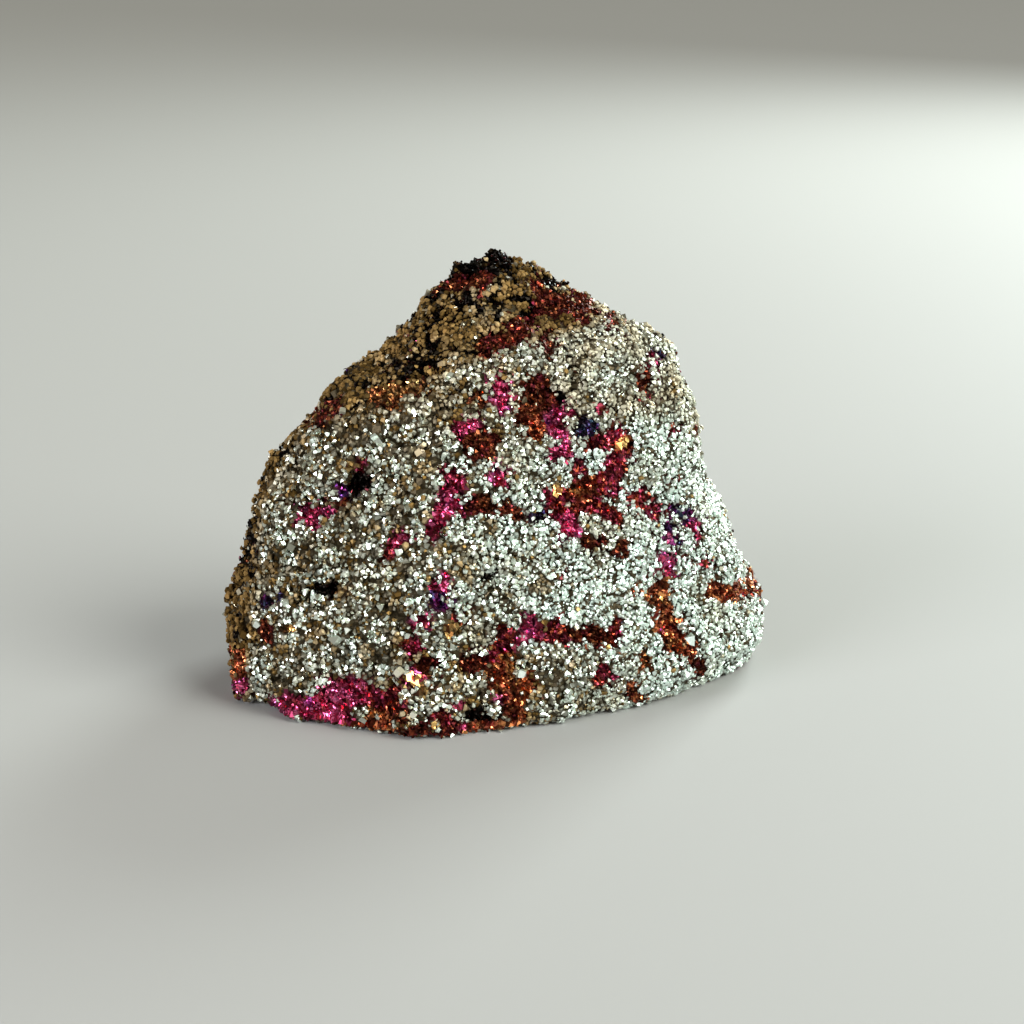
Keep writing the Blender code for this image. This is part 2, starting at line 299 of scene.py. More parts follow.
def add_node(tree, kind, values=(), links=(), stops=(), **settings):
    """Adds a node with its settings, the values of its inputs, the links into them and a ramp's stops."""
    made = tree.nodes.new(kind)
    for name, value in settings.items():
        setattr(made, name, value)
    for socket, value in dict(values).items():
        made.inputs[socket].default_value = value
    for socket, source in dict(links).items():
        tree.links.new(source, made.inputs[socket])
    for i, (place, colour_at) in enumerate(stops):
        element = made.color_ramp.elements[i] if i < 2 else made.color_ramp.elements.new(place)
        element.position, element.color = place, (*colour_at, 1.0)
    return made


def blank_material(name):
    material = bpy.data.materials.new(name)
    material.use_nodes = True
    material.node_tree.nodes.clear()
    return material, material.node_tree


# ---- places on the lump


def seen_from_front(places):
    """Where places lie for someone at the camera: right of the middle of the view, and above it."""
    offset = places - CAMERA_TARGET
    scale = CAMERA_DISTANCE / (CAMERA_DISTANCE + offset @ VIEW_AHEAD)
    return offset @ VIEW_RIGHT * scale, offset @ VIEW_UP * scale


def faces_front(places, normals):
    """From 1 where the surface looks at the camera to -1 where it looks away."""
    eye = CAMERA_TARGET - VIEW_AHEAD * CAMERA_DISTANCE
    away = eye - places
    return (normals * away).sum(1) / np.linalg.norm(away, axis=1)


def on_underside(places, normals):
    return (normals[:, 2] < -0.7) & (places[:, 2] < UNDERSIDE_TOP)


def noise_at(places, name):
    """Smooth noise at each place, as strong either way as NOISES says."""
    strength, wavelength, start = NOISES[name]
    offset = Vector((start, start * 1.7, -start))
    return strength * np.array([noise.noise(Vector(place) / wavelength + offset) for place in places])


def ramp(values, start, end):
    """From 0 at the start to 1 at the end, and level beyond them."""
    return np.clip((values - start) / (end - start), 0.0, 1.0)


def knobs_at(places, size):
    """How high on its knob each place lies, from 0 in a groove to 1 on top, a number from 0 to 1 for the knob, and
    the knob's middle."""
    height, number, middle = np.empty(len(places)), np.empty(len(places)), np.empty((len(places), 3))
    for i, place in enumerate(places / size):
        distances, points = noise.voronoi(Vector(place))
        height[i] = min(2.2 * (distances[1] - distances[0]), 1.0) ** 0.6 * (1.0 - 0.6 * min(distances[0], 1.0) ** 2)
        # a hash of the knob's middle
        number[i] = abs(math.sin(points[0].dot((12.9, 78.2, 37.7))) * 4375.85) % 1.0
        middle[i] = points[0]
    return height, number, middle * size


def along_streak(u, v, points):
    """Distance from each (u, v) to the streak's line."""
    best = np.full(len(u), np.inf)
    ends = points[1:] or points
    for (au, av), (bu, bv) in zip(points, ends):
        du, dv = bu - au, bv - av
        length_squared = max(du * du + dv * dv, 1e-9)
        share = np.clip(((u - au) * du + (v - av) * dv) / length_squared, 0.0, 1.0)
        best = np.minimum(best, np.hypot(u - au - share * du, v - av - share * dv))
    return best


def front_tarnish(places, knobs, number):
    """How deep in a streak of the front each place lies, and the film and gleam of the nearest streak."""
    u, v = seen_from_front(places)
    knob_u, knob_v = seen_from_front(knobs)
    depth = np.full(len(places), -9.0)
    film, gleam = np.zeros(len(places)), np.zeros(len(places))
    for name, streaks in FRONT_STREAKS.items():
        for width, *numbers in streaks:
            points = list(zip(numbers[::2], numbers[1::2]))
            # a knob is bare or crusted as a whole, more or less
            inside = 0.97 * width - 0.5 * along_streak(u, v, points) - 0.5 * along_streak(knob_u, knob_v, points)
            inside += min(width, 1.2) * 0.5 * (number - 0.5)
            deeper = inside > depth
            depth[deeper] = inside[deeper]
            film[deeper], gleam[deeper] = TARNISHES[name]
    return depth, film, gleam


def tarnish_at(places, normals):
    """For each place: how deep in a bare place it lies, in mm (negative outside), its film and its gleam."""
    height, number, knobs = knobs_at(places, bpy.context.scene.ore.knob_size / MM)
    u, v = seen_from_front(places)
    fray = noise_at(places, "fray") + noise_at(places, "fine fray") + 0.36 - 0.5 * height
    depth, film, gleam = front_tarnish(places, knobs, number)
    depth += fray
    for island_u, island_v, radius in CRUST_ISLANDS:
        depth = np.minimum(depth, 1.5 * (np.hypot(u - island_u, v - island_v) - radius))
    front = faces_front(places, normals) > -0.02
    bare = noise_at(knobs, "bare") + noise_at(places, "fine bare") - HIDDEN_SHARE
    hue = np.clip(0.45 + noise_at(places, "hue"), 0.02, 1.0)
    depth = np.where(front, depth, bare * 5.0 + 0.6 * fray)
    film = np.where(front, film, hue)
    gleam = np.where(front, gleam, np.clip(0.55 + noise_at(places, "gleam"), 0.15, 1.0))
    # black cracks of painted shade run through the weathered crust
    crack = (0.06 - np.abs(noise_at(places, "crack"))) * 7.0 - np.clip(0.9 - weathering_and_shade_at(places, normals), 0.0, 1.0)
    shaded_crack = (crack > depth) & (crack > -0.3)
    depth = np.where(shaded_crack, crack, depth)
    return depth, np.where(shaded_crack, 1.0, film), np.where(shaded_crack, 1.0, gleam)


def coarseness_at(places, normals):
    """0 where the druse is finest, at the right of the front, to 1 where it is coarsest, at the left."""
    u, v = seen_from_front(places)
    above_brow = v > np.interp(u, *zip(*BROW))
    across = ramp(u, 11.0, -13.0) * np.where(above_brow, 0.5, 1.0)
    foot = 0.9 * ramp(v, -15.0, -19.0) * ramp(u, 15.0, 11.0)
    return np.where(faces_front(places, normals) > -0.1, np.maximum(across, foot), 0.85)


def weathering_and_shade_at(places, normals):
    """0 where the pyrite is clean and silvery to 1 where it is brassy and brown, above the brow and at the left, and
    more where it is black, at the peak. The brown above the brow and at the left is partly a weathered film and
    partly painted shade, on faces turned from the light."""
    u, v = seen_from_front(places)
    above_brow = v - np.interp(u, *zip(*BROW))
    top = np.clip(above_brow / 2.5 + 0.3, 0.0, 0.95) * np.clip((20.0 - u) / 12.0, 0.3, 1.0)
    top = np.maximum(top, 0.4 * ramp(v, 5.0, 15.0))
    left = np.clip((np.interp(v, *zip(*LEFT_CORNER)) - u) / 2.0 + 0.35, 0.0, 1.0)
    off_apex = np.hypot((u - APEX[0]) / APEX_REACH[0], (v - APEX[1]) / APEX_REACH[1])
    apex = np.clip(2.2 - off_apex, 0.0, 1.0) * 1.6
    patchy = noise_at(places, "patchy")
    seen = np.maximum(np.maximum(top, left) + patchy, apex)
    share = ramp(faces_front(places, normals) + noise_at(places, "turning"), -0.45, -0.1)
    return np.clip(share * seen + (1.0 - share) * (0.35 + patchy), 0.0, 1.6)


def fold_at(places):
    """0 along the creases of the crumpled film, and further from 0 between them."""
    return noise_at(places, "fold") + noise_at(places, "fine fold")


def tarnish_shades(places, film, gleam, rng):
    """The film and gleam with the drifts in them: the creases get a painted highlight, gleaming brighter with their
    film made thinner, towards salmon and orange.
    """
    crease = np.clip(1.3 - np.abs(fold_at(places)) / CREASE, 0.0, 1.0)
    drift = noise_at(places, "drift") + noise_at(places, "fine drift")
    worn_and_painted_light = 0.08 * crease * ((film > 0.2) & (film < 0.55))
    soot_and_shade = film > SOOT_AND_SHADE
    film = np.clip(film + np.where(soot_and_shade, 0.05, drift - worn_and_painted_light) + rng.normal(size=len(film)) * 0.02, 0.0, 1.0)
    fading = 0.15 + 0.33 * ramp(film, 0.5, 0.6) + noise_at(places, "fading")
    # painted highlight: random facets along the creases gleam brightly
    fading += crease * rng.random(len(film)) ** 1.5 * 2.1
    return film, np.where(soot_and_shade, 1.0, np.clip(gleam * fading, 0.1 * gleam, 1.0))


# ---- meshes


def numbers_of(items, key, width=1, kind=float):
    """A number, or a row of numbers, for each of a mesh's vertices, faces or corners."""
    numbers = np.empty(len(items) * width, kind)
    items.foreach_get(key, numbers)
    return numbers.reshape(-1, width) if width > 1 else numbers


def face_places(mesh):
    """The faces' middles in mm, and their normals."""
    return numbers_of(mesh.polygons, "center", 3) / MM, numbers_of(mesh.polygons, "normal", 3)


def vertex_places(mesh):
    """The vertices' places in mm, and their normals."""
    return numbers_of(mesh.vertices, "co", 3) / MM, numbers_of(mesh.vertices, "normal", 3)


def over_the_floor(places, reaches):
    """Lifts what would reach into the table."""
    places[:, 2] = np.maximum(places[:, 2], reaches)
    return places


def move_vertices(mesh, places):
    mesh.vertices.foreach_set("co", (places * MM).astype(np.float32).ravel())
    mesh.update()


def rest_on_table(mesh, heights):
    """Brings the shrunken underside back down to the heights in mm that it had, less the room that its crystals
    take, with the low relief of a break."""
    places, _ = vertex_places(mesh)
    low = heights < RESTING
    places[low, 2] = np.maximum(heights[low], UNDERSIDE_ROOM) + noise_at(places[low], "relief")
    move_vertices(mesh, places)


def even_out(piece, voxel, passes):
    """Gives a piece faces of one size in mm all over, and dulls its edges."""
    remesh = piece.modifiers.new("even", "REMESH")
    remesh.mode, remesh.voxel_size = "VOXEL", voxel * MM
    soften = piece.modifiers.new("soften", "SMOOTH")
    soften.factor, soften.iterations = 0.5, passes
    for modifier in (remesh, soften):
        bpy.ops.object.modifier_apply(modifier=modifier.name)


def displace(piece, name, weights, strength):
    """Moves a piece's surface outwards, by the strength times each vertex's weight."""
    group = piece.vertex_groups.new(name=name)
    for i, weight in enumerate(weights):
        group.add([i], float(weight), "REPLACE")
    swell = piece.modifiers.new(name, "DISPLACE")
    swell.strength, swell.mid_level, swell.vertex_group = strength, 0.0, name
    bpy.ops.object.modifier_apply(modifier=swell.name)


def face_marks(mesh, marks):
    """Gives the mesh a number per face for each attribute that its material reads."""
    for name, values in marks.items():
        mesh.attributes.new(name, "FLOAT", "FACE").data.foreach_set("value", values.astype(np.float32))


def map_corners(mesh, uv):
    layer = mesh.uv_layers.new(name="OFBake")
    layer.uv.foreach_set("vector", uv.astype(np.float32).ravel())


def box_map(mesh):
    """Maps each face from the side of the box that it looks to most, in two rows of three."""
    normals = numbers_of(mesh.polygons, "normal", 3)
    axis = np.abs(normals).argmax(1)
    side = axis + 3 * (normals[np.arange(len(axis)), axis] < 0)
    side = np.repeat(side, numbers_of(mesh.polygons, "loop_total", kind=np.int32))
    points = numbers_of(mesh.vertices, "co", 3)
    low, high = points.min(0), points.max(0)
    share = ((points - low) / (high - low))[numbers_of(mesh.loops, "vertex_index", kind=np.int32)]
    pair = np.array([(1, 2), (0, 2), (0, 1)])[side % 3]
    u = share[np.arange(len(side)), pair[:, 0]]
    v = share[np.arange(len(side)), pair[:, 1]]
    rim = 0.01  # free of the neighbours
    inner = 1.0 - 2.0 * rim
    map_corners(mesh, np.stack([(u * inner + rim + side % 3) / 3, (v * inner + rim + side // 3) / 2], 1))


def belongs(piece, material):
    """Gives a piece its material, and says which body it is of."""
    piece.data.materials.clear()
    piece.data.materials.append(material)
    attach(piece, "root")


# ---- crystals


def crystal_forms():
    """The corners of each crystal form, about one across."""
    cube = [(x, y, z) for x in (-1, 1) for y in (-1, 1) for z in (-1, 1)]
    cut = 0.62  # how far along its edges a cube's corners are cut
    forms = {
        "truncated": [tuple(np.roll((x, y, z * cut), shift)) for x, y, z in cube for shift in range(3)],
        "octahedron": [(1.2, 0, 0), (-1.2, 0, 0), (0, 1.2, 0), (0, -1.2, 0), (0, 0, 1.2), (0, 0, -1.2)],
        # of a cube that is sunk in the crust
        "corner": [(1.0, 0.0, -0.35), (-0.5, 0.87, -0.35), (-0.5, -0.87, -0.35), (0.0, 0.0, 0.36)],
    }
    rng = np.random.default_rng(SEED)
    for name in BLOCKS:
        forms[name] = np.array(cube) * rng.uniform(0.75, 1.15, 3) + rng.normal(size=(8, 3)) * 0.17
    # a grain has its corners on a spiral from its top to a little below its middle, each turned by the golden angle
    corners, golden_angle = 9, 2.4
    rise = 1.0 - 1.35 * (np.arange(corners) + 0.5) / corners
    for name in GRAINS:
        turn = np.arange(corners) * golden_angle + rng.normal(size=corners) * 0.35
        reach = np.sqrt(1.0 - rise**2)
        points = np.stack([np.cos(turn) * reach, np.sin(turn) * reach, rise], 1) * rng.uniform(0.8, 1.2, 3)
        forms[name] = np.concatenate([points * rng.uniform(0.85, 1.15, (corners, 1)), [(0.0, 0.0, -0.5)]])
    plates = (("flake_a", 6, 0.5), ("flake_b", 7, 0.5), ("plate_a", 9, 1.0), ("plate_b", 9, 0.9))
    for name, corners, width in plates:
        turn = np.sort(rng.uniform(0, 2 * math.pi, corners)) + np.arange(corners) * 0.3
        reach = rng.uniform(0.75, 1.25, corners)
        bend = rng.normal(size=corners) * 0.12
        rim = np.stack([np.cos(turn) * reach * 1.4, np.sin(turn) * reach * width, bend], 1)
        forms[name] = np.concatenate([rim, [(0.0, 0.0, -0.3)]])
    return forms


def hull(corners):
    """Corners and triangles of the convex form between points, 1 across."""
    shape = bmesh.new()
    verts = [shape.verts.new(Vector(p) / 2) for p in corners]
    made = bmesh.ops.convex_hull(shape, input=verts)
    spare = [v for v in made["geom_interior"] + made["geom_unused"] if isinstance(v, bmesh.types.BMVert)]
    bmesh.ops.delete(shape, geom=list(set(spare)), context="VERTS")
    bmesh.ops.triangulate(shape, faces=shape.faces)
    bmesh.ops.recalc_face_normals(shape, faces=shape.faces)
    shape.verts.index_update()
    points = np.array([v.co[:] for v in shape.verts])
    triangles = np.array([[v.index for v in face.verts] for face in shape.faces])
    shape.free()
    return points, triangles


def hulls(names):
    forms = crystal_forms()
    return [hull(forms[name]) for name in names]


def matrix_samples(count, rng):
    """Places scattered over the matrix at random, in mm, with the surface's normal there."""
    mesh = bpy.data.objects[MATRIX].data
    mesh.calc_loop_triangles()
    corners = numbers_of(mesh.loop_triangles, "vertices", 3, np.int32)
    points, normals = vertex_places(mesh)
    a, b, c = (points[corners[:, i]] for i in range(3))
    area = np.linalg.norm(np.cross(b - a, c - a), axis=1)
    face = rng.choice(len(area), count, p=area / area.sum())
    s, t = rng.random((2, count))
    over = s + t > 1
    s[over], t[over] = 1 - s[over], 1 - t[over]
    weights = np.stack([1 - s - t, s, t], 1)[:, :, None]
    places = (points[corners[face]] * weights).sum(1)
    directions = (normals[corners[face]] * weights).sum(1)
    return places, directions / np.linalg.norm(directions, axis=1)[:, None]


def well_spaced(places, gaps):
    """Which of the places stay, in their order, when each keeps its gap to the later ones."""
    tree = KDTree(len(places))
    for i, place in enumerate(places):
        tree.insert(place, i)
    tree.balance()
    gone = np.zeros(len(places), bool)
    kept = []
    for i, place in enumerate(places):
        if not gone[i]:
            kept.append(i)
            for _, j, _ in tree.find_range(place, gaps[i]):
                gone[j] = True
    return np.array(kept, int)


def nearest_front(places, normals, marks):
    """For each (u, v, size): the number of the place on the front that is seen there."""
    u, v = seen_from_front(places)
    hidden = np.where(faces_front(places, normals) > 0.1, 0.0, 1e6)
    return np.array([np.argmin(np.hypot(u - mu, v - mv) + hidden) for mu, mv, _ in marks])


def tufts_front(places, normals, marks):
    """For each (u, v, size): the numbers of well spaced places on the front seen within it, and the size of a plate
    at each."""
    u, v = seen_from_front(places)
    front = faces_front(places, normals) > 0.1
    found, sizes = [], []
    for mu, mv, size in marks:
        near = np.flatnonzero(front & (np.hypot(u - mu, v - mv) < 0.42 * size))
        near = near[well_spaced(places[near], np.full(len(near), 0.34 * size))]
        found.append(near)
        sizes.append(np.full(len(near), 0.5 * size))
    return np.concatenate(found), np.concatenate(sizes)


def random_turns(count, rng):
    """Rotation matrices, each way up as likely as another."""
    turns = [Quaternion(q).normalized().to_matrix() for q in rng.normal(size=(count, 4))]
    return np.array(turns).reshape(-1, 3, 3)


def lying_turns(normals, tilt, across, rng):
    """Rotation matrices that lay a form's z along the surface's normal, give or take a tilt, and its x across the
    given directions."""
    up = normals + rng.normal(size=normals.shape) * tilt
    up /= np.linalg.norm(up, axis=1)[:, None]
    side = np.cross(up, across)
    side /= np.linalg.norm(side, axis=1)[:, None]
    return np.stack([side, np.cross(up, side), up], 2)


def chosen_few(values, which):
    """The same rows of every array."""
    return {key: value[which] for key, value in values.items()}


def crystal_mesh(name, forms, kinds, places, turns, sizes, marks):
    """A piece of many crystals. marks holds a number per crystal for each attribute that its material reads."""
    points, triangles, owner = [], [], []
    start = 0
    for kind, (corners, faces) in enumerate(forms):
        mine = np.flatnonzero(kinds == kind)
        if not len(mine):
            continue
        put = np.einsum("nij,nkj->nki", turns[mine], corners[None] * sizes[mine, None, None]) + places[mine, None]
        points.append(over_the_floor(put.reshape(-1, 3), 0.0))
        first = start + np.arange(len(mine)) * len(corners)
        triangles.append((faces[None] + first[:, None, None]).reshape(-1, 3))
        owner.append(np.repeat(mine, len(faces)))
        start += len(mine) * len(corners)
    points, triangles, owner = np.concatenate(points) * MM, np.concatenate(triangles), np.concatenate(owner)

    mesh = bpy.data.meshes.new(name)
    mesh.from_pydata(points, [], triangles)
    face_marks(mesh, chosen_few(marks, owner))
    # every crystal has a cell of its own in the map, which all its faces share
    across = math.ceil(math.sqrt(len(places)))
    cell = np.stack([owner % across, owner // across], 1)
    within = np.array([(0.15, 0.15), (0.85, 0.15), (0.5, 0.85)])
    map_corners(mesh, (cell[:, None] + within[None]) / across)
    mesh.validate()
    mesh.shade_flat()
    piece = bpy.data.objects.new(name, mesh)
    bpy.context.scene.collection.objects.link(piece)
    return piece


# ---- the druse


def druse_places(settings, rng):
    """The place, normal, coarseness and gap of each crystal, and whether it is a small one at the others' roots,
    stands out, or is one of the bright ones that have a place of their own."""
    places, normals = matrix_samples(SAMPLES, rng)
    numbers = np.arange(SAMPLES)
    root = numbers < ROOT_SAMPLES
    coarse = coarseness_at(places, normals)
    gap = (settings.fine_gap + (settings.coarse_gap - settings.fine_gap) * coarse) / MM
    bright = nearest_front(places, normals, BRIGHT_CRYSTALS)
    others = np.setdiff1d(numbers, bright)
    order = np.concatenate([bright, others[~root[others]], others[root[others]]])
    crystals = {"place": places, "normal": normals, "coarse": coarse, "root": root, "gap": gap}
    crystals = chosen_few(crystals, order)
    named, standing = numbers < len(bright), numbers < settings.large_count
    root = crystals["root"] & ~named
    gap = crystals["gap"] * rng.uniform(0.6, 1.45, SAMPLES)
    size = settings.large_size / MM * rng.uniform(0.6, 1.0, SAMPLES) * (0.6 + 0.4 * crystals["coarse"])
    gap = np.where(standing, size, gap)
    gap[named] = [size for _, _, size in BRIGHT_CRYSTALS]
    top = np.flatnonzero(~root)
    top = top[well_spaced(crystals["place"][top], gap[top])]
    # the small ones only grow where the others leave room
    gap = np.where(root, settings.root_gap / MM, gap)
    both = np.concatenate([top, np.flatnonzero(root)])
    both = both[well_spaced(crystals["place"][both], gap[both] * np.where(root[both], 1.0, 0.55))]
    crystals.update({"root": root, "gap": gap, "named": named, "standing": standing})
    return chosen_few(crystals, both)


def grown_crystals(settings, rng):
    """The crystals that grow on the knobs and not in the bare places, with the height and numbers of their knobs."""
    crystals = druse_places(settings, rng)
    places = crystals["place"]
    crystals["height"], crystals["number"], _ = knobs_at(places, settings.knob_size / MM)
    _, crystals["lobe_number"], _ = knobs_at(places, LOBE * settings.knob_size / MM)
    depth, _, _ = tarnish_at(places, crystals["normal"])
    # the coarser the druse, the more of the grooves' floors stay open
    open_floor = (crystals["height"] < 0.2) & (rng.random(len(places)) < 0.1 + 0.4 * crystals["coarse"])
    return chosen_few(crystals, crystals["named"] | ((depth < 0.0) & ~open_floor))


def druse_looks(crystals, rng):
    """The shade, warmth and dullness of each crystal. The clean ones are silvery or grey, and the weathered ones
    brown, partly as painted shade; the grooves and roots get painted shade, and the glinting crystals painted
    highlights.
    """
    places, root, coarse = crystals["place"], crystals["root"], crystals["coarse"]
    height, number = crystals["height"], crystals["number"]
    count = len(places)
    # the brown and tan above the brow and at the left is partly painted shade, on faces turned from the light
    weathering_and_shade = weathering_and_shade_at(places, crystals["normal"])
    worn_and_painted_light = np.clip(weathering_and_shade, 0.0, 1.0)

    # whole knobs are khaki, and single grains brown or grey
    draw = rng.random(count)
    khaki = (number > 0.985 - 0.2 * coarse**2) & (draw < 0.75)
    brown = khaki | ((draw > 0.1) & (draw < 0.11 + 0.04 * coarse))
    grey = draw > 0.8 - 0.1 * coarse
    clean = 0.97 - (0.1 + 0.15 * coarse) * grey - 0.4 * brown + (0.1 + 0.2 * coarse) * (number - 0.5)
    tan = 0.62 + 0.3 * (crystals["lobe_number"] - 0.5) + 0.25 * (number - 0.5)
    shade = clean * (1.0 - worn_and_painted_light) + tan * worn_and_painted_light + noise_at(places, "shade")
    # painted shade: the grooves and the roots are darker and warmer, most of all where the druse is coarse
    groove = 1.0 - np.clip(height / GROOVE, 0.0, 1.0) ** 2
    shade *= 1.0 - (0.22 + 0.42 * coarse**1.3) * groove
    shade = np.where(root, (0.68 - 0.15 * coarse) * shade, shade) + rng.normal(size=count) * 0.05
    shade -= 0.8 * np.clip(weathering_and_shade - 1.0, 0.0, 1.0)
    warmth = 0.16 * coarse + worn_and_painted_light + np.where(khaki, 0.6, brown) + 0.3 * coarse * groove
    warmth += root * (0.2 + 0.5 * coarse**2)
    warmth += noise_at(places, "warmth")
    dullness = 0.32 + 0.15 * brown + 0.4 * worn_and_painted_light + 0.2 * rng.random(count)

    # the knobs' tops glint more than the grooves, in clusters: glossier crystals with a painted highlight
    chance = np.clip(0.4 + 1.1 * height, 0.4, 1.4)
    chance *= np.where(khaki, 0.5, np.clip(1.15 + noise_at(places, "glints"), 0.3, 2.2))
    glint = (rng.random(count) < (0.22 + 0.14 * coarse) * chance * (1.0 - 0.95 * worn_and_painted_light)) & ~root
    bright = glint | crystals["standing"] | crystals["named"]
    # painted highlight: the glinting, standing and named crystals get a paler base colour
    shade = np.where(bright, np.maximum(shade + 0.1, 0.9 - 0.5 * worn_and_painted_light), shade)
    shade = np.where(crystals["named"], 1.0, np.clip(shade, 0.02, 1.0))
    warmth = np.clip(np.where(bright, 0.5 * warmth, warmth), 0.0, 1.0)
    return {"shade": shade, "warmth": warmth, "dullness": np.where(glint, 0.2, dullness)}


def druse_shapes(crystals, rng):
    """The kind, place, turns and size of each crystal."""
    normals, root, height = crystals["normal"], crystals["root"], crystals["height"]
    standing = crystals["standing"] | crystals["named"]
    count = len(height)
    kinds = rng.integers(0, len(GRAINS), count)
    kinds[root] = len(GRAINS) + (rng.random(root.sum()) < 0.25)
    blocks = standing & ~crystals["named"] & (rng.random(count) < 0.6)
    kinds[blocks] = rng.integers(len(GRAINS + SMALL), len(GRAINS + SMALL + STANDING), blocks.sum())
    # they are larger than their gaps, so that they crowd each other
    crowding = np.where(root, 1.7, np.where(standing, 1.25, 1.75))
    sizes = crystals["gap"] * crowding * rng.uniform(0.85, 1.15, count)
    turns = lying_turns(normals, 0.35, rng.normal(size=(count, 3)), rng)
    turns[blocks] = random_turns(blocks.sum(), rng)
    rise = np.where(standing, 0.2, 0.5 * (height - 0.6) + rng.uniform(-0.04, 0.1, count)) - 0.05 * root
    places = over_the_floor(crystals["place"] + normals * rise[:, None], sizes * 0.5)
    return kinds, places, turns, sizes


# ---- materials


def attribute(tree, name):
    return add_node(tree, "ShaderNodeAttribute", attribute_name=name).outputs["Fac"]


def mixed(tree, share, first, second):
    """The mix of two colours, each of which is a node's output or a colour of its own."""
    colours = {6: first, 7: second}
    links = {i: value for i, value in colours.items() if isinstance(value, bpy.types.NodeSocket)}
    values = {i: (*value, 1.0) for i, value in colours.items() if i not in links}
    mix = add_node(tree, "ShaderNodeMix", data_type="RGBA", values=values, links={0: share, **links})
    return mix.outputs[2]


def metal(tree, links):
    shader = add_node(tree, "ShaderNodeBsdfPrincipled", values={"Metallic": 1.0}, links=links)
    add_node(tree, "ShaderNodeOutputMaterial", links={"Surface": shader.outputs["BSDF"]})


def pyrite_material(settings):
    """Pyrite, crystallised: a hard pale brass-yellow metal with flat mirror faces.

    Each crystal has its own shade: most are clean and silvery, some wear a thin brassy or brown film. The shade
    also holds painted shade in the grooves, between the grains and on faces turned from the light, and painted
    highlights on the glinting crystals."""
    material, tree = blank_material("pyrite_crystals")
    shade = attribute(tree, "shade")
    clean, filmed = (
        add_node(
            tree,
            "ShaderNodeValToRGB",
            links={"Fac": shade},
            stops=((0.0, settings.soot_and_shade), (1.0, bright), (0.4, dim)),
        )
        for bright, dim in ((settings.silver, settings.grey), (settings.brass, settings.brown))
    )
    tone = mixed(tree, attribute(tree, "warmth"), clean.outputs["Color"], filmed.outputs["Color"])
    metal(tree, {"Base Color": tone, "Roughness": attribute(tree, "dullness")})
    return material


def tarnish_material(settings):
    """Chalcopyrite and bornite, broken and tarnished: metal facets under an oxide film a few hundred nanometres
    thick.

    The film's thickness sets each facet's interference colour, and its gleam how bright it is: partly the film's own
    tone, partly a painted highlight along the creases and a painted shadow by the crust's edge. Where it is covered,
    crystals stand over it, and its dark colour is partly painted shade."""
    material, tree = blank_material("tarnished_chalcopyrite")
    hues = (
        (0.0, "#FFD88A"), (1.0, "#0F0C0A"), (0.12, "#F2AE68"), (0.22, "#E48C58"), (0.34, "#DC7452"),
        (0.4, "#C24C34"), (0.47, "#D65C66"), (0.57, "#E44A7A"), (0.66, "#F67EAC"), (0.74, "#B8489A"),
        (0.82, "#603480"), (0.91, "#48607C"),
    )
    stops = [(place, rgb(code)) for place, code in hues]
    film = add_node(tree, "ShaderNodeValToRGB", links={"Fac": attribute(tree, "film")}, stops=stops)
    gleam = attribute(tree, "gleam")
    dimmed = mixed(tree, gleam, settings.dim_film, film.outputs["Color"])
    base = mixed(tree, attribute(tree, "covered"), dimmed, settings.covered)
    rough = add_node(tree, "ShaderNodeMapRange", values={"To Min": 0.45, "To Max": 0.2}, links={"Value": gleam})
    metal(tree, {"Base Color": base, "Roughness": rough.outputs["Result"]})
    return material


# ---- operators


